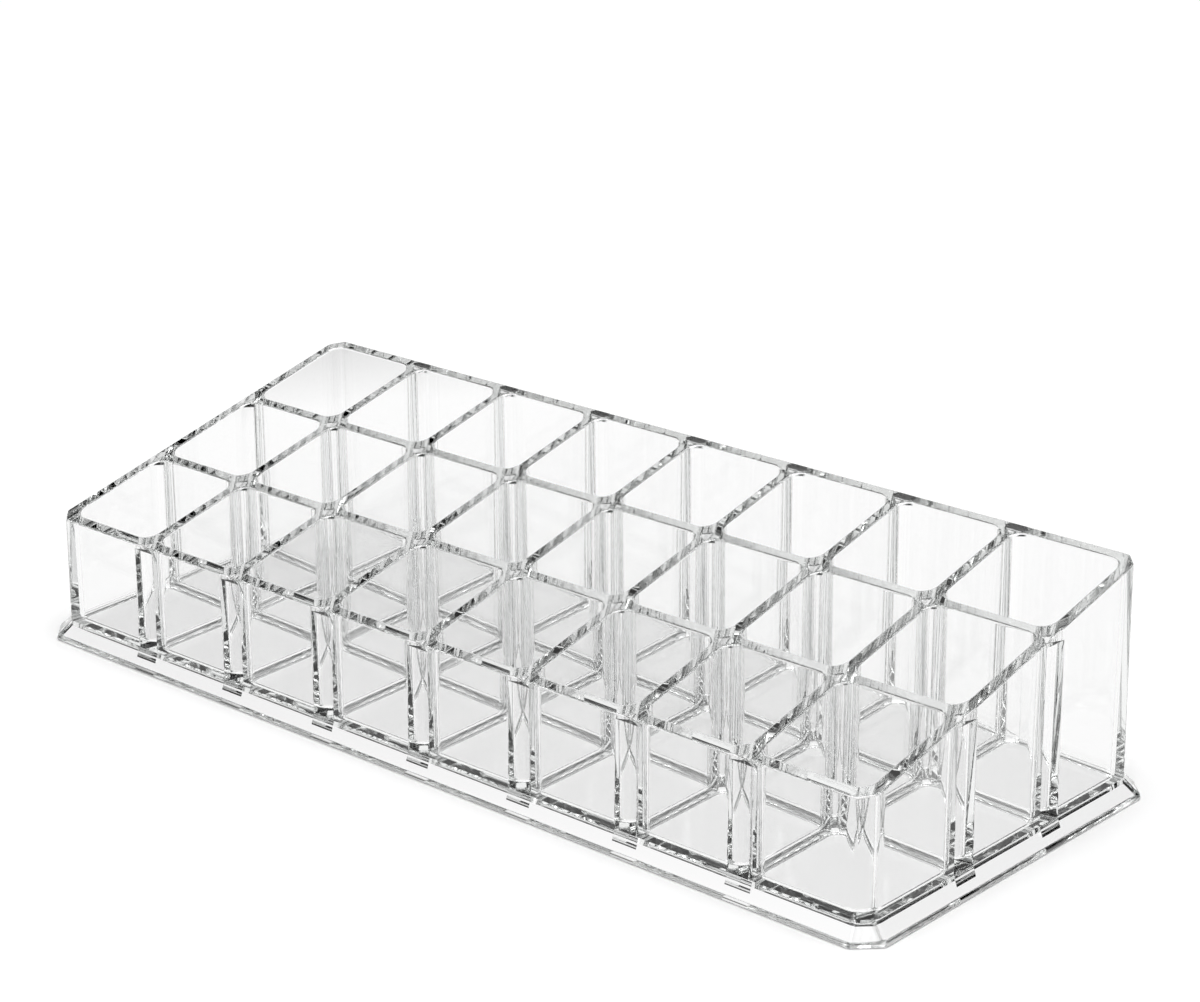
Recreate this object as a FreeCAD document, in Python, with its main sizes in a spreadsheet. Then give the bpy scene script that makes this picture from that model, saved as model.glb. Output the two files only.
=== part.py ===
import FreeCAD, Part
import os
import Sketcher

# A clear moulded organizer with wells in straight rows, low at the front and high at the back.
# Frame: origin at the middle of the resting face, +X along the length, +Y to the high back, +Z up.
# The real thing is one moulding. Each node is one member of it, and the members meet face to face.

doc = FreeCAD.newDocument("vanity_organizer")

# Driving dimensions: millimetres, but for the counts and the angles in degrees.
SIZES = [
    ("well_columns", 8, "wells along the length"),
    ("well_rows", 3, "wells from front to back"),
    ("pitch", 26, "from one well's middle to the next"),
    ("wall_foot", 3, "thickness of every wall where it leaves the floor"),
    ("wall_draft", 0.5, "lean of the moulded sides, an angle"),
    ("well_corner", 3, "rounding of a well's upright corners, at the floor"),
    ("foot_bevel", 0.7, "bevel where a well's walls meet its floor"),
    ("front_height", 26.2, "height of the rim at the front"),
    ("rear_height", 46.7, "height of the rim at the back"),
    ("rim_bevel", 0.4, "bevel that breaks the rim's edges"),
    ("block_corner", 2.8, "leg of the block's cut corners, at the foot"),
    ("post_wall", 2.1, "wall round the hollow of a post, at the foot"),
    ("groove_depth", 3, "depth of an outer groove between two wells"),
    ("roof", 1, "least thickness of the rim over a hollow post or a groove"),
    ("skirt_edge", 0.9, "upright edge of the skirt, above the table"),
    ("skirt_rise", 3, "height of the skirt's sloping face"),
    ("skirt_slope", 45, "lean of the skirt's faces, an angle"),
    ("skirt_lip", 1.8, "width of the skirt's resting edge"),
    ("floor_thickness", 1.9, "thickness of the floor"),
]

sheet = doc.addObject("Spreadsheet::Sheet", "sizes")
for row, (alias, value, meaning) in enumerate(SIZES, start=1):
    sheet.set(f"A{row}", meaning)
    sheet.set(f"B{row}", str(value))
    sheet.setAlias(f"B{row}", alias)
doc.recompute()

# What follows from the sheet, as expressions for the features below.
HALF_LENGTH = "((sizes.well_columns * sizes.pitch + sizes.wall_foot) / 2)"
HALF_DEPTH = "((sizes.well_rows * sizes.pitch + sizes.wall_foot) / 2)"
WELL_HALF = "((sizes.pitch - sizes.wall_foot) / 2)"
FLOOR_TOP = "(sizes.skirt_edge + sizes.skirt_rise)"
BLOCK_RISE = f"(sizes.rear_height - {FLOOR_TOP})"
TOP = f"(sizes.rear_height + {FLOOR_TOP})"
RECESS = f"({FLOOR_TOP} - sizes.floor_thickness)"
SKIRT_RUN = "(sizes.skirt_rise * tan(sizes.skirt_slope))"
# A corner cut at 45 degrees changes by this share of the distance that its outline is moved.
CORNER_SHARE = "(2 - sqrt(2))"
BASE_CORNER = f"(sizes.block_corner + {CORNER_SHARE} * {SKIRT_RUN})"
# The hollow of a post is a square on its corner, cored from below.
POST_HALF = f"(sizes.wall_foot + {CORNER_SHARE} * sizes.well_corner - sqrt(2) * sizes.post_wall)"
# A lengthwise wall carries the posts, so it reaches to where the round corners' feet end.
POST_REACH = "(sizes.wall_foot / 2 + sizes.well_corner + sizes.foot_bevel)"

COLUMNS = int(sheet.well_columns)
ROWS = int(sheet.well_rows)


def number(expression):
    """The present value of an expression."""
    return float(sheet.evalExpression(expression))


def cross_wall(column):
    """Where along X a cross wall stands, counted from the left end wall."""
    return f"(({column} - sizes.well_columns / 2) * sizes.pitch)"


def long_wall(line):
    """Where along Y a lengthwise wall stands, counted from the front wall."""
    return f"(({line} - sizes.well_rows / 2) * sizes.pitch)"


def rim_at(y):
    """The height of the slanting rim at a place between front and back."""
    slope = f"((sizes.rear_height - sizes.front_height) / (2 * {HALF_DEPTH}))"
    return f"(sizes.front_height + ({y} + {HALF_DEPTH}) * {slope})"


def cut_corners(half_x, half_y, corner):
    """A rectangle with its four corners cut at 45 degrees."""
    outline = []
    for x, y in ((1, -1), (1, 1), (-1, 1), (-1, -1)):
        beside = (f"{x} * ({half_x} - {corner})", f"{y} * {half_y}")
        above = (f"{x} * {half_x}", f"{y} * ({half_y} - {corner})")
        outline += [beside, above] if x * y < 0 else [above, beside]
    return outline


def body_plane(body, role):
    """One of the body's own origin planes or axes."""
    return next(item for item in body.Origin.OriginFeatures if item.Role == role)


def sketch(body, name, outlines, lift="0", role="XY_Plane"):
    """Closed outlines on one of the body's planes, with each corner held by two expressions."""
    drawing = body.newObject("Sketcher::SketchObject", name)
    drawing.AttachmentSupport = [(body_plane(body, role), "")]
    drawing.MapMode = "FlatFace"
    drawing.setExpression("AttachmentOffset.Base.z", lift)
    for outline in outlines:
        first = drawing.GeometryCount
        points = [FreeCAD.Vector(number(across), number(up), 0) for across, up in outline]
        for start, end in zip(points, points[1:] + points[:1]):
            drawing.addGeometry(Part.LineSegment(start, end), False)
        for side, (across, up) in enumerate(outline):
            after = first + (side + 1) % len(outline)
            drawing.addConstraint(Sketcher.Constraint("Coincident", first + side, 2, after, 1))
            for kind, place in (("DistanceX", across), ("DistanceY", up)):
                rule = Sketcher.Constraint(kind, -1, 1, first + side, 1, number(place))
                drawing.setExpression(f"Constraints[{drawing.addConstraint(rule)}]", place)
    return drawing


def extrude(body, kind, name, drawing, length=None):
    """A pad or a pocket upward from a sketch; without a length the pocket goes through, both ways."""
    before = 0 if body.Shape.isNull() else body.Shape.Volume
    item = body.newObject(f"PartDesign::{kind}", name)
    item.Profile = drawing
    if length:
        item.Reversed = kind == "Pocket"
        item.setExpression("Length", length)
    else:
        item.Type = "ThroughAll"
        item.SideType = "Symmetric"
    doc.recompute()
    if (body.Shape.Volume > before) != (kind == "Pad"):
        raise ValueError(f"{name} changes nothing")
    return item


def faces_between(shape, low, high):
    """The names of the faces that reach from one height exactly to another."""
    slack = Part.Precision.confusion() * 10
    return [
        f"Face{index}"
        for index, face in enumerate(shape.Faces, start=1)
        if abs(face.BoundBox.ZMin - low) < slack and abs(face.BoundBox.ZMax - high) < slack
    ]


def lean(body, name, last, low, high, angle, outward=False):
    """A draft on the upright sides between two heights, turned about the lower one."""
    bottom, top = number(low), number(high)
    item = body.newObject("PartDesign::Draft", name)
    item.Base = (last, faces_between(last.Shape, bottom, top))
    item.NeutralPlane = (last, faces_between(last.Shape, bottom, bottom)[:1])
    item.Reversed = outward
    item.setExpression("Angle", angle)
    doc.recompute()
    return item


def repeat(body, name, count, axis="X_Axis"):
    """The whole body again at every pitch along an axis."""
    item = body.newObject("PartDesign::LinearPattern", name)
    item.TransformMode = "Whole shape"
    item.Direction = (body_plane(body, axis), [""])
    item.Mode = "Spacing"
    item.setExpression("Offset", "sizes.pitch")
    item.setExpression("Occurrences", count)
    body.Tip = item
    doc.recompute()
    return item


def ease_edges(body, kind, name, last, size, chosen):
    """A fillet or a chamfer of the edges whose two ends pass a test."""
    edges = [
        f"Edge{index}"
        for index, edge in enumerate(last.Shape.Edges, start=1)
        if chosen(edge.firstVertex().Point, edge.lastVertex().Point)
    ]
    item = body.newObject(f"PartDesign::{kind}", name)
    item.Base = (last, edges)
    item.setExpression("Radius" if kind == "Fillet" else "Size", size)
    doc.recompute()
    return item


def upright(start, end):
    """Whether an edge stands up, but for the draft."""
    return abs(end.z - start.z) > (end - start).Length / 2


def on_rim(*ends):
    """Whether an edge lies on the rim's slanted plane."""
    slack = Part.Precision.confusion()
    return all(abs(end.z - number(rim_at(f"({end.y})"))) < slack for end in ends)


def make_plinth():
    """Floor and skirt in one: an upright edge, a sloping face, and a shallow recess beneath."""
    body = doc.addObject("PartDesign::Body", "plinth")
    half_x, half_y = f"({HALF_LENGTH} + {SKIRT_RUN})", f"({HALF_DEPTH} + {SKIRT_RUN})"
    outline = cut_corners(half_x, half_y, BASE_CORNER)
    slope_start = sketch(body, "slope_outline", [outline], "sizes.skirt_edge")
    upper = extrude(body, "Pad", "upper_skirt", slope_start, "sizes.skirt_rise")
    lean(body, "slope", upper, "sizes.skirt_edge", FLOOR_TOP, "sizes.skirt_slope")
    extrude(body, "Pad", "upright_edge", sketch(body, "edge_outline", [outline]), "sizes.skirt_edge")
    inner_corner = f"({BASE_CORNER} - {CORNER_SHARE} * sizes.skirt_lip)"
    inner = cut_corners(f"({half_x} - sizes.skirt_lip)", f"({half_y} - sizes.skirt_lip)", inner_corner)
    recess = extrude(body, "Pocket", "recess", sketch(body, "recess_outline", [inner]), RECESS)
    lean(body, "recess_slope", recess, "0", RECESS, "sizes.skirt_slope", True)
    return body


def make_block():
    """The block that the wells are sunk in, leaning inward with the draft, its top slanted."""
    body = doc.addObject("PartDesign::Body", "block")
    outline = cut_corners(HALF_LENGTH, HALF_DEPTH, "sizes.block_corner")
    foot = sketch(body, "block_outline", [outline], FLOOR_TOP)
    prism = extrude(body, "Pad", "block_prism", foot, BLOCK_RISE)
    lean(body, "drafted_block", prism, FLOOR_TOP, "sizes.rear_height", "sizes.wall_draft")
    above_rim = [
        (f"-{HALF_DEPTH}", "sizes.front_height"),
        (HALF_DEPTH, "sizes.rear_height"),
        (f"-{HALF_DEPTH}", "sizes.rear_height"),
    ]
    top = extrude(body, "Pocket", "slanted_top", sketch(body, "above_rim", [above_rim], role="YZ_Plane"))
    ease_edges(body, "Chamfer", "outer_rim_bevel", top, "sizes.rim_bevel", on_rim)
    return body


def make_footprint():
    """The upright prism on the block's foot, which parts the floor from the skirt."""
    body = doc.addObject("PartDesign::Body", "footprint")
    outline = cut_corners(HALF_LENGTH, HALF_DEPTH, "sizes.block_corner")
    extrude(body, "Pad", "foot_prism", sketch(body, "foot_outline", [outline]), FLOOR_TOP)
    return body


def make_well_cores(row):
    """What fills one row's wells: drafted, with round corners, eased at the floor and at the rim."""
    body = doc.addObject("PartDesign::Body", f"well_cores_{row + 1}")
    middle_x, middle_y = f"{cross_wall(0)} + sizes.pitch / 2", f"{long_wall(row)} + sizes.pitch / 2"
    corners = ((1, -1), (1, 1), (-1, 1), (-1, -1))
    outline = [(f"{middle_x} + {x} * {WELL_HALF}", f"{middle_y} + {y} * {WELL_HALF}") for x, y in corners]
    foot = sketch(body, f"well_outline_{row + 1}", [outline], FLOOR_TOP)
    prism = extrude(body, "Pad", f"core_prism_{row + 1}", foot, BLOCK_RISE)
    top, draft = "sizes.rear_height", "sizes.wall_draft"
    drafted = lean(body, f"drafted_core_{row + 1}", prism, FLOOR_TOP, top, draft, True)
    ease_edges(body, "Fillet", f"core_corners_{row + 1}", drafted, "sizes.well_corner", upright)
    front, rear = long_wall(row), long_wall(row + 1)
    over_rim = [(front, rim_at(front)), (rear, rim_at(rear)), (rear, TOP), (front, TOP)]
    cap_outline = sketch(body, f"over_rim_{row + 1}", [over_rim], cross_wall(0), "YZ_Plane")
    cap = extrude(body, "Pad", f"cap_{row + 1}", cap_outline, "sizes.pitch")
    middle = FreeCAD.Vector(number(middle_x), number(middle_y), 0)
    reach = number("sizes.pitch / 2") - Part.Precision.confusion()

    def at_mouth(*ends):
        away = [max(abs(end.x - middle.x), abs(end.y - middle.y)) for end in ends]
        return on_rim(*ends) and max(away) < reach

    def at_foot(*ends):
        return all(abs(end.z - number(FLOOR_TOP)) < Part.Precision.confusion() for end in ends)

    mouth = ease_edges(body, "Chamfer", f"mouth_bevel_{row + 1}", cap, "sizes.rim_bevel", at_mouth)
    ease_edges(body, "Chamfer", f"foot_bevel_{row + 1}", mouth, "sizes.foot_bevel", at_foot)
    repeat(body, f"row_of_wells_{row + 1}", "sizes.well_columns")
    return body


def make_hollow(name, outlines, top, draft=None, repeats=None):
    """What fills hollows cored from below: flat-topped prisms that end under the rim."""
    body = doc.addObject("PartDesign::Body", name)
    prism = extrude(body, "Pad", f"{name}_prism", sketch(body, f"{name}_outline", outlines), top)
    if draft:
        lean(body, f"{name}_drafted", prism, "0", top, draft)
    if repeats:
        repeat(body, f"{name}_repeated", repeats)
    return body


def make_hollows():
    """The hollow posts where four wells meet, and the grooves where two wells meet the outside."""
    first, between = cross_wall(1), "sizes.well_columns - 1"
    depth, half = "sizes.groove_depth", POST_HALF
    hollows = []
    for face, side in ((f"-{HALF_DEPTH}", "front"), (HALF_DEPTH, "rear")):
        inward = f"{face} + {depth}" if side == "front" else f"{face} - {depth}"
        groove = [(f"{first} - {depth}", face), (f"{first} + {depth}", face), (first, inward)]
        low = face if side == "front" else inward
        top = f"({rim_at(low)} - sizes.roof)"
        hollows.append(make_hollow(f"{side}_grooves", [groove], top, repeats=between))
    for line in range(1, ROWS):
        y = long_wall(line)
        ends = [
            [(f"-{HALF_LENGTH}", f"{y} - {depth}"), (f"-{HALF_LENGTH} + {depth}", y),
             (f"-{HALF_LENGTH}", f"{y} + {depth}")],
            [(HALF_LENGTH, f"{y} - {depth}"), (HALF_LENGTH, f"{y} + {depth}"),
             (f"{HALF_LENGTH} - {depth}", y)],
        ]
        top = f"({rim_at(f'{y} - {depth}')} - sizes.roof)"
        hollows.append(make_hollow(f"end_grooves_{line}", ends, top))
        square = [(f"{first} - {half}", y), (first, f"{y} - {half}"),
                  (f"{first} + {half}", y), (first, f"{y} + {half}")]
        top = f"({rim_at(f'{y} - {half}')} - sizes.roof)"
        hollows.append(make_hollow(f"post_hollows_{line}", [square], top, "sizes.wall_draft", between))
    return hollows


def combine(kind, name, first, second):
    """A cut or a common of two shapes."""
    item = doc.addObject(f"Part::{kind}", name)
    item.Base = first
    item.Tool = second
    doc.recompute()
    return item


def gather(name, members):
    """Several shapes as one group."""
    item = doc.addObject("Part::Compound", name)
    item.Links = members
    doc.recompute()
    return item


def room(name, corner, length, depth):
    """The upright space that one wall stands in, from the floor to the highest rim."""
    item = doc.addObject("Part::Box", name)
    item.setExpression("Placement.Base.x", corner[0])
    item.setExpression("Placement.Base.y", corner[1])
    item.setExpression("Placement.Base.z", FLOOR_TOP)
    item.setExpression("Length", length)
    item.setExpression("Width", depth)
    item.setExpression("Height", BLOCK_RISE)
    doc.recompute()
    return item


def make_long_walls(block, cores, hollows):
    """The walls that run the whole length and carry the corners, the posts and the grooves."""
    names = ["front_wall", "front_row_divider", "rear_row_divider", "rear_wall"]
    members = []
    for line, name in enumerate(names):
        front = f"-{HALF_DEPTH}" if line == 0 else f"({long_wall(line)} - {POST_REACH})"
        rear = HALF_DEPTH if line == ROWS else f"({long_wall(line)} + {POST_REACH})"
        space = room(f"{name}_room", (f"-{HALF_LENGTH}", front), f"2 * {HALF_LENGTH}", f"{rear} - {front}")
        blank = combine("Common", f"{name}_blank", block, space)
        beside = gather(f"{name}_cores", cores[max(line - 1, 0):line + 1])
        welled = combine("Cut", f"{name}_with_wells", blank, beside)
        members.append(combine("Cut", name, welled, hollows))
    return members


def make_cross_wall(block, cores, name, left, right):
    """One wall from front to back, in a panel for each row between the lengthwise walls."""
    spaces = [
        room(f"{name}_room_{row + 1}", (left, f"{long_wall(row)} + {POST_REACH}"), f"{right} - {left}",
             f"sizes.pitch - 2 * {POST_REACH}")
        for row in range(ROWS)
    ]
    blank = combine("Common", f"{name}_blank", block, gather(f"{name}_rooms", spaces))
    return combine("Cut", name, blank, gather(f"{name}_cores", cores))


def make_cross_dividers(block, cores):
    """The cross dividers: the first is cut out, and its likes stand at every pitch after it."""
    between = [f"({cross_wall(1)} {side} sizes.pitch / 2)" for side in "-+"]
    first = make_cross_wall(block, cores, "cross_divider_1", *between)
    dividers = [first]
    for column in range(2, COLUMNS):
        item = doc.addObject("App::Link", f"cross_divider_{column}")
        item.LinkedObject = first
        item.setExpression("Placement.Base.x", f"{column - 1} * sizes.pitch")
        dividers.append(item)
    doc.recompute()
    return dividers


def make_end_walls(block, cores):
    """The two outer walls from front to back, inside the corners that the lengthwise walls carry."""
    inner_left = f"({cross_wall(0)} + sizes.pitch / 2)"
    inner_right = f"({cross_wall(COLUMNS)} - sizes.pitch / 2)"
    return [
        make_cross_wall(block, cores, "left_end_wall", f"-{HALF_LENGTH}", inner_left),
        make_cross_wall(block, cores, "right_end_wall", inner_right, HALF_LENGTH),
    ]


plinth = make_plinth()
footprint = make_footprint()
hollows = gather("hollows", make_hollows())
block = make_block()
cores = [make_well_cores(row) for row in range(ROWS)]

skirt = combine("Cut", "bevelled_skirt", plinth, footprint)
floor = combine("Cut", "floor_plate", combine("Common", "solid_floor", plinth, footprint), hollows)
nodes = [skirt, floor] + make_long_walls(block, cores, hollows)
nodes += make_end_walls(block, cores) + make_cross_dividers(block, cores)

for item in doc.Objects:
    if {"Invalid", "Error"} & set(item.State):
        raise ValueError(f"{item.Label} did not compute")

os.makedirs("parts", exist_ok=True)
for node in nodes:
    shape = Part.getShape(node)
    if shape.isNull() or not shape.isValid():
        raise ValueError(f"{node.Label} has no valid shape")
    shape.exportStep(f"parts/{node.Label}.step")
    print(node.Label, len(shape.Solids), "solids", round(shape.Volume, 1), "cubic mm")
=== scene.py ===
import math

import bmesh
import bpy
from mathutils import Matrix, Vector


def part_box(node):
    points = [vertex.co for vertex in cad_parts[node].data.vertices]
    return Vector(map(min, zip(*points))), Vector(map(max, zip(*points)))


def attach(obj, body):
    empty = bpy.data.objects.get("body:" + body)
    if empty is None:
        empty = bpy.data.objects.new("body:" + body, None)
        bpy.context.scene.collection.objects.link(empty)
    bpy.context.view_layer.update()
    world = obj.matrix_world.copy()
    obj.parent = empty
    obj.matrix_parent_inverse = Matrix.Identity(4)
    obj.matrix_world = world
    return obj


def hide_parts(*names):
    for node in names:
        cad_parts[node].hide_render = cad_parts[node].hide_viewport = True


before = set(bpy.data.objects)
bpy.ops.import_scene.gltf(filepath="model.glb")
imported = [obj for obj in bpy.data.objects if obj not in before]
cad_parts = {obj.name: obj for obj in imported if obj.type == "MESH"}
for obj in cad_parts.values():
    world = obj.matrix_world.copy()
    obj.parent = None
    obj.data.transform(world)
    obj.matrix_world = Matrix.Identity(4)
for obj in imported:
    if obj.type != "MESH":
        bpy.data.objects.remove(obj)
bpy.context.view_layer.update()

# A clear moulded organizer with 24 wells in three rows, low at the front and high at the back.
# Metres and radians. The real thing is one moulding, so one piece here stands for all its members.
MM = 0.001
COLUMNS, ROWS = 8, 3
PITCH = 26 * MM
WALL_FOOT = 3 * MM
DRAFT = math.tan(math.radians(0.5))
WELL_CORNER = 3 * MM
FOOT_ROUND = 1.2 * MM
FRONT_HEIGHT = 26.2 * MM
REAR_HEIGHT = 46.7 * MM
RIM_ROUND = 0.4 * MM
BLOCK_CORNER = 2.8 * MM
CORNER_ARRIS = 0.45 * MM
ARRIS = 0.4 * MM
SKIRT_EDGE = 0.9 * MM
SKIRT_LIP = 1.8 * MM
FLOOR_THICKNESS = 1.9 * MM
GROOVE_DEPTH = 3 * MM
POST_WALL = 2.1 * MM
ROOF = 1 * MM

# How many flats stand for a round edge, for a well's round corner and for an edge inside a hollow.
EDGE_STEPS, CORNER_STEPS, HOLLOW_STEPS = 4, 10, 2
# Edges that turn outward by more than the first angle are arrises. Up to the second, shading is smooth.
ARRIS_TURN, SMOOTH_TURN = math.radians(20), math.radians(32)
# Cutters reach this far past a face that they open, and the white board lies this far below the lip,
# so that no two faces lie on each other.
PAST = 0.03 * MM
# Hollows are cored from this far below the lip.
CORED_FROM = -1 * MM
# Points this close to a cutting plane count as on it.
ON_PLANE = 0.001 * MM

# The outline of the skirt and of the block's foot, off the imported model.
SKIRT_HIGH = Vector(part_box("bevelled_skirt")[1])
FOOT_LOW = Vector(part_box("front_wall")[0])
HALF_LENGTH, HALF_DEPTH, FLOOR_TOP = -FOOT_LOW.x, -FOOT_LOW.y, FOOT_LOW.z
REAR_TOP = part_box("rear_wall")[1][2]
SKIRT_RISE = FLOOR_TOP - SKIRT_EDGE
BLOCK_RISE = REAR_HEIGHT - FLOOR_TOP
WELL_HALF = (PITCH - WALL_FOOT) / 2
# A corner cut at 45 degrees changes by this share of the distance that its outline is moved.
CORNER_SHARE = 2 - math.sqrt(2)
POST_HALF = WALL_FOOT + CORNER_SHARE * WELL_CORNER - math.sqrt(2) * POST_WALL
RIM_SLOPE = (REAR_HEIGHT - FRONT_HEIGHT) / (2 * HALF_DEPTH)
RIM_UP = Vector((0, -RIM_SLOPE, 1)).normalized()
UP, DOWN = Vector((0, 0, 1)), Vector((0, 0, -1))


def rim_at(y):
    """The height of the slanting rim at a place between front and back."""
    return FRONT_HEIGHT + (y + HALF_DEPTH) * RIM_SLOPE


def cross_wall(column):
    """Where along X a cross wall stands, counted from the left end wall."""
    return (column - COLUMNS / 2) * PITCH


def long_wall(line):
    """Where along Y a lengthwise wall stands, counted from the front wall."""
    return (line - ROWS / 2) * PITCH


def begin(name, add, **place):
    """A new primitive with its place in its mesh, open for editing."""
    bpy.ops.object.select_all(action="DESELECT")
    add(**place)
    bpy.ops.object.transform_apply(location=True, rotation=True, scale=True)
    piece = bpy.context.object
    piece.name = name
    bpy.ops.object.mode_set(mode="EDIT")
    return piece


def close(piece):
    """Ends the editing of a piece."""
    bpy.ops.object.mode_set(mode="OBJECT")
    return piece


def pick(piece, kind, wanted):
    """Selects the faces or the edges that pass a test, and nothing else."""
    bpy.ops.mesh.select_mode(type="FACE" if kind == "faces" else "EDGE")
    bpy.ops.mesh.select_all(action="DESELECT")
    mesh = bmesh.from_edit_mesh(piece.data)
    for item in getattr(mesh, kind):
        if wanted(item):
            item.select_set(True)
    bmesh.update_edit_mesh(piece.data)


def facing(direction):
    """The test for faces that look along a direction, to within 3 degrees."""
    return lambda face: face.normal.dot(direction) > 0.999


def upright(edge):
    """The test for edges that rise by more than half their length."""
    rise = edge.verts[1].co - edge.verts[0].co
    return abs(rise.z) > 0.5 * rise.length


def arris(edge):
    """The test for outward edges."""
    return edge.is_manifold and edge.calc_face_angle_signed() > ARRIS_TURN


def corner_arris(edge):
    """The test for the outward edges at the upright corners."""
    return arris(edge) and upright(edge)


def bevel(width, segments):
    """Breaks the selected edges, in one flat or in a round of several."""
    bpy.ops.mesh.bevel(offset=width, segments=segments, profile=0.5, clamp_overlap=True)


def quarter_round(radius):
    """The steps of a quarter circle that starts straight ahead: how far sideways and ahead each goes."""
    turns = [math.radians(90 * step / EDGE_STEPS) for step in range(EDGE_STEPS + 1)]
    return [
        (radius * (math.cos(start) - math.cos(end)), radius * (math.sin(end) - math.sin(start)))
        for start, end in zip(turns, turns[1:])
    ]


def raise_face(wider, along):
    """Pushes the selected face out along a direction, and makes it so many times as wide."""
    bpy.ops.mesh.extrude_region_move(TRANSFORM_OT_translate={"value": along})
    bpy.ops.transform.resize(value=(wider, wider, wider))


def cut_above(point, up):
    """Takes away what the piece in editing has above a plane, and closes the cut."""
    bpy.ops.mesh.select_all(action="SELECT")
    bpy.ops.mesh.bisect(plane_co=point, plane_no=up, use_fill=True, clear_outer=True, threshold=ON_PLANE)


def repeat(piece, count, step):
    """Copies a piece in a row, in its own mesh."""
    bpy.context.view_layer.objects.active = piece
    row = piece.modifiers.new("row", "ARRAY")
    row.use_relative_offset = False
    row.use_constant_offset = True
    row.constant_offset_displace = step
    row.count = count
    bpy.ops.object.modifier_apply(modifier="row")
    return piece


def make_shell():
    """The moulding without its wells: a skirt with a sloping face, and a block with a slanted top."""
    middle = Vector((0, 0, SKIRT_EDGE / 2))
    size = Vector((2 * SKIRT_HIGH.x, 2 * SKIRT_HIGH.y, SKIRT_EDGE))
    shell = begin("clear_moulding", bpy.ops.mesh.primitive_cube_add, size=1, location=middle, scale=size)
    pick(shell, "edges", upright)
    bevel(BLOCK_CORNER + CORNER_SHARE * SKIRT_RISE, 1)
    pick(shell, "faces", facing(UP))
    bpy.ops.mesh.inset(thickness=SKIRT_RISE, depth=SKIRT_RISE)
    bpy.ops.mesh.inset(thickness=BLOCK_RISE * DRAFT, depth=BLOCK_RISE)
    cut_above((0, 0, rim_at(0)), RIM_UP)
    pick(shell, "faces", facing(DOWN))
    bpy.ops.mesh.inset(thickness=SKIRT_LIP, depth=0)
    recess = FLOOR_TOP - FLOOR_THICKNESS
    bpy.ops.mesh.inset(thickness=recess, depth=-recess)
    pick(shell, "edges", corner_arris)
    bevel(CORNER_ARRIS, EDGE_STEPS)
    pick(shell, "edges", arris)
    bevel(ARRIS, EDGE_STEPS)
    # The rounding bulges a little at the rear corners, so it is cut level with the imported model.
    cut_above((0, 0, REAR_TOP), UP)
    return close(shell)


def make_well_core(row):
    """What fills the first well of a row: rounded at the foot, widening upward, flared at the rim."""
    foot, top = FLOOR_TOP + FOOT_ROUND, REAR_HEIGHT
    middle = Vector((cross_wall(0.5), long_wall(row + 0.5), (foot + top) / 2))
    size = Vector((2 * WELL_HALF, 2 * WELL_HALF, top - foot))
    core = begin(f"well_core_{row + 1}", bpy.ops.mesh.primitive_cube_add, size=1, location=middle, scale=size)
    pick(core, "edges", upright)
    bevel(WELL_CORNER, CORNER_STEPS)
    pick(core, "faces", facing(UP))
    wider = 1 + (top - foot) * DRAFT / WELL_HALF
    bpy.ops.transform.resize(value=(wider, wider, 1))
    pick(core, "faces", facing(DOWN))
    for inward, downward in quarter_round(FOOT_ROUND):
        bpy.ops.mesh.inset(thickness=inward, depth=downward)
    cut_above(Vector((0, 0, rim_at(0))) - RIM_ROUND * RIM_UP, RIM_UP)
    pick(core, "faces", facing(RIM_UP))
    for outward, upward in quarter_round(RIM_ROUND):
        raise_face(1 + outward / WELL_HALF, RIM_UP * upward)
    raise_face(1, RIM_ROUND * UP)
    return repeat(close(core), COLUMNS, (PITCH, 0, 0))


def make_hollow(name, x, y, half, top, out=None):
    """A square hollow on its corner, cored from below, or only the half of it that lies inside a face."""
    place = (x, y, (top + CORED_FROM) / 2)
    depth = top - CORED_FROM
    add = bpy.ops.mesh.primitive_cylinder_add
    hollow = begin(name, add, vertices=4, radius=half, depth=depth, location=place)
    pick(hollow, "edges", upright)
    bevel(ARRIS, HOLLOW_STEPS)
    if out:
        cut_above(Vector((x, y, 0)) + Vector(out) * PAST, out)
    return close(hollow)


def make_hollows():
    """The hollow posts where four wells meet, and the grooves where two wells meet the outside."""
    hollows = []
    between, step = COLUMNS - 1, (PITCH, 0, 0)
    first = cross_wall(1)
    for side, out in (("front", -1), ("rear", 1)):
        face = out * HALF_DEPTH
        top = rim_at(min(face, face - out * GROOVE_DEPTH)) - ROOF
        groove = make_hollow(f"{side}_grooves", first, face, GROOVE_DEPTH, top, (0, out, 0))
        hollows.append(repeat(groove, between, step))
    for line in range(1, ROWS):
        y = long_wall(line)
        post = make_hollow(f"post_hollows_{line}", first, y, POST_HALF, rim_at(y - POST_HALF) - ROOF)
        hollows.append(repeat(post, between, step))
        top = rim_at(y - GROOVE_DEPTH) - ROOF
        for side, out in (("left", -1), ("right", 1)):
            face = out * HALF_LENGTH
            hollows.append(make_hollow(f"{side}_groove_{line}", face, y, GROOVE_DEPTH, top, (out, 0, 0)))
    return hollows


def join(pieces):
    """Several pieces in one mesh, in the first one's place."""
    bpy.ops.object.select_all(action="DESELECT")
    for piece in pieces:
        piece.select_set(True)
    bpy.context.view_layer.objects.active = pieces[0]
    bpy.ops.object.join()
    return pieces[0]


def take_away(piece, cutter):
    """Cuts one piece out of another, and drops the cutter."""
    bpy.context.view_layer.objects.active = piece
    cut = piece.modifiers.new("cut", "BOOLEAN")
    cut.operation = "DIFFERENCE"
    cut.solver = "MANIFOLD"
    cut.object = cutter
    bpy.ops.object.modifier_apply(modifier="cut")
    bpy.data.objects.remove(cutter)


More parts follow.
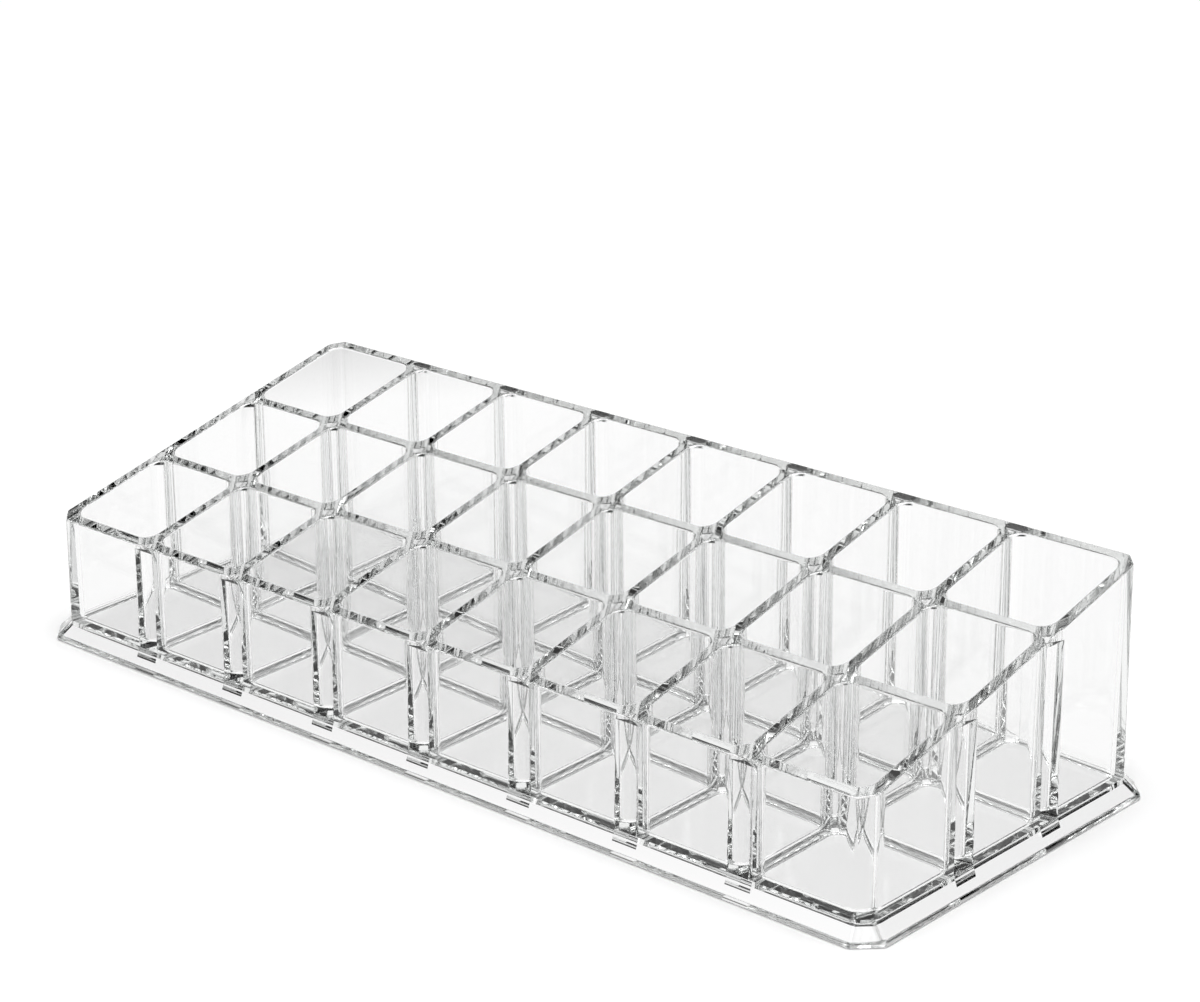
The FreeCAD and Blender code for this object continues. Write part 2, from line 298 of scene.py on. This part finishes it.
def shade(piece):
    """Smooth over the roundings, while the flat faces keep their own normals."""
    bpy.ops.object.select_all(action="DESELECT")
    piece.select_set(True)
    bpy.context.view_layer.objects.active = piece
    bpy.ops.object.shade_smooth_by_angle(angle=SMOOTH_TURN)
    weights = piece.modifiers.new("flat faces", "WEIGHTED_NORMAL")
    weights.keep_sharp = True
    bpy.ops.object.modifier_apply(modifier="flat faces")


def linear(hex_colour):
    """An sRGB hex colour as the linear values that sockets take."""
    parts = [int(hex_colour[at:at + 2], 16) / 255 for at in (1, 3, 5)]
    return (*(part / 12.92 if part <= 0.04045 else ((part + 0.055) / 1.055) ** 2.4 for part in parts), 1)


def add_node(tree, kind, links=None, **settings):
    """A node with its settings and what feeds it: a number is a socket's value, a socket a link."""
    node = tree.nodes.new(kind)
    for name, value in settings.items():
        setattr(node, name, value)
    for name, value in (links or {}).items():
        if isinstance(value, bpy.types.NodeSocket):
            tree.links.new(value, node.inputs[name])
        else:
            node.inputs[name].default_value = value
    return node


def new_material(name):
    """An empty material and its node tree."""
    material = bpy.data.materials.new(name)
    material.use_nodes = True
    material.node_tree.nodes.clear()
    return material, material.node_tree


def clear_polystyrene():
    """Injection-moulded crystal polystyrene: water-clear, glossy, with a faint grey-green in its depth."""
    material, tree = new_material("clear_polystyrene")
    place = add_node(tree, "ShaderNodeTexCoord")
    # The melt's flow leaves waves a centimetre or two long, too shallow to feel.
    flow = add_node(tree, "ShaderNodeTexNoise", {"Vector": place.outputs["Object"], "Scale": 60, "Detail": 1})
    waves = add_node(tree, "ShaderNodeBump", {
        "Height": flow.outputs["Fac"], "Strength": 0.004, "Distance": 0.5 * MM,
    })
    clear = add_node(tree, "ShaderNodeBsdfPrincipled", {
        "Base Color": linear("#FFFFFF"), "Roughness": 0.01, "IOR": 1.59, "Transmission Weight": 1,
        "Normal": waves.outputs["Normal"],
    })
    depth = add_node(tree, "ShaderNodeVolumeAbsorption", {"Color": linear("#B0B9B4"), "Density": 5})
    add_node(tree, "ShaderNodeOutputMaterial", {
        "Surface": clear.outputs["BSDF"], "Volume": depth.outputs["Volume"],
    })
    return material


def white_board():
    """A matt white board that keeps the soft shadow. The clear plastic shows it white, and dark far off."""
    material, tree = new_material("white_board")
    board = add_node(tree, "ShaderNodeBsdfDiffuse", {"Color": linear("#FCFCFC")})
    place = add_node(tree, "ShaderNodeTexCoord")
    away = add_node(tree, "ShaderNodeVectorMath", {0: place.outputs["Object"]}, operation="LENGTH")
    shades = add_node(tree, "ShaderNodeValToRGB", {"Fac": away.outputs["Value"]})
    near, far = shades.color_ramp.elements
    near.position, near.color = 0.2, linear("#FFFFFF")
    far.position, far.color = 0.4, linear("#0A0C0C")
    plain = add_node(tree, "ShaderNodeEmission", {"Color": shades.outputs["Color"], "Strength": 1})
    ray = add_node(tree, "ShaderNodeLightPath")
    kinds = {0: ray.outputs["Is Transmission Ray"], 1: ray.outputs["Is Glossy Ray"]}
    by_plastic = add_node(tree, "ShaderNodeMath", kinds, operation="MAXIMUM")
    seen = add_node(tree, "ShaderNodeMixShader", {
        "Fac": by_plastic.outputs["Value"], 1: board.outputs["BSDF"], 2: plain.outputs["Emission"],
    })
    add_node(tree, "ShaderNodeOutputMaterial", {"Surface": seen.outputs["Shader"]})
    return material


def light_room():
    """A room that is dark low down and white overhead, before a plain white backdrop."""
    world = bpy.data.worlds.new("white_room")
    bpy.context.scene.world = world
    world.use_nodes = True
    tree = world.node_tree
    tree.nodes.clear()
    where = add_node(tree, "ShaderNodeTexCoord")
    height = add_node(tree, "ShaderNodeSeparateXYZ", {"Vector": where.outputs["Generated"]})
    ray = add_node(tree, "ShaderNodeLightPath")
    shades = add_node(tree, "ShaderNodeValToRGB", {"Fac": height.outputs["Z"]})
    low, high = shades.color_ramp.elements
    low.position, low.color = 0.6, linear("#000000")
    high.position, high.color = 0.75, linear("#FFFFFF")
    room = add_node(tree, "ShaderNodeBackground", {"Color": shades.outputs["Color"], "Strength": 1})
    backdrop = add_node(tree, "ShaderNodeBackground", {"Color": linear("#FFFFFF"), "Strength": 1})
    seen = add_node(tree, "ShaderNodeMixShader", {
        "Fac": ray.outputs["Is Camera Ray"], 1: room.outputs["Background"], 2: backdrop.outputs["Background"],
    })
    add_node(tree, "ShaderNodeOutputWorld", {"Surface": seen.outputs["Shader"]})


def add_lamp(name, place, aim, size, power):
    """A square area lamp that looks at a point."""
    lamp = bpy.data.lights.new(name, "AREA")
    lamp.size = size
    lamp.energy = power
    holder = bpy.data.objects.new(name, lamp)
    bpy.context.collection.objects.link(holder)
    holder.location = place
    holder.rotation_euler = (Vector(aim) - Vector(place)).to_track_quat("-Z", "Y").to_euler()


def add_camera():
    """The photograph's view: from the front right, a little above, through a long lens."""
    azimuth, elevation, roll = (math.radians(angle) for angle in (41.96, 19.55, -0.27))
    aim, distance = Vector((-3.8, 15, 38.6)) * MM, 612.9 * MM
    level = math.cos(elevation)
    back = Vector((math.sin(azimuth) * level, -math.cos(azimuth) * level, math.sin(elevation)))
    data = bpy.data.cameras.new("camera")
    data.lens, data.sensor_width = 92.98, 36
    data.dof.use_dof = False
    camera = bpy.data.objects.new("camera", data)
    bpy.context.collection.objects.link(camera)
    turn = back.to_track_quat("Z", "Y").to_matrix() @ Matrix.Rotation(roll, 3, "Z")
    camera.matrix_world = Matrix.Translation(aim + back * distance) @ turn.to_4x4()
    bpy.context.scene.camera = camera


moulding = make_shell()
cutters = [make_well_core(row) for row in range(ROWS)] + make_hollows()
take_away(moulding, join(cutters))
shade(moulding)
moulding.data.materials.clear()
moulding.data.materials.append(clear_polystyrene())
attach(moulding, "root")
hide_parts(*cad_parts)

bpy.ops.object.select_all(action="DESELECT")
bpy.ops.mesh.primitive_plane_add(size=1.8, location=(0, 0, -PAST))
floor = bpy.context.object
floor.name = "floor"
floor.data.materials.append(white_board())

light_room()
add_lamp("soft_overhead", place=(0.4, -0.2, 3.2), aim=(0, 0, 0), size=2.4, power=72)
add_camera()
scene = bpy.context.scene
scene.view_settings.view_transform = "Standard"
# Light goes in and out of many walls of plastic, and its reflections inside them count as glossy.
scene.cycles.max_bounces = 64
scene.cycles.transmission_bounces = 64
scene.cycles.glossy_bounces = 22
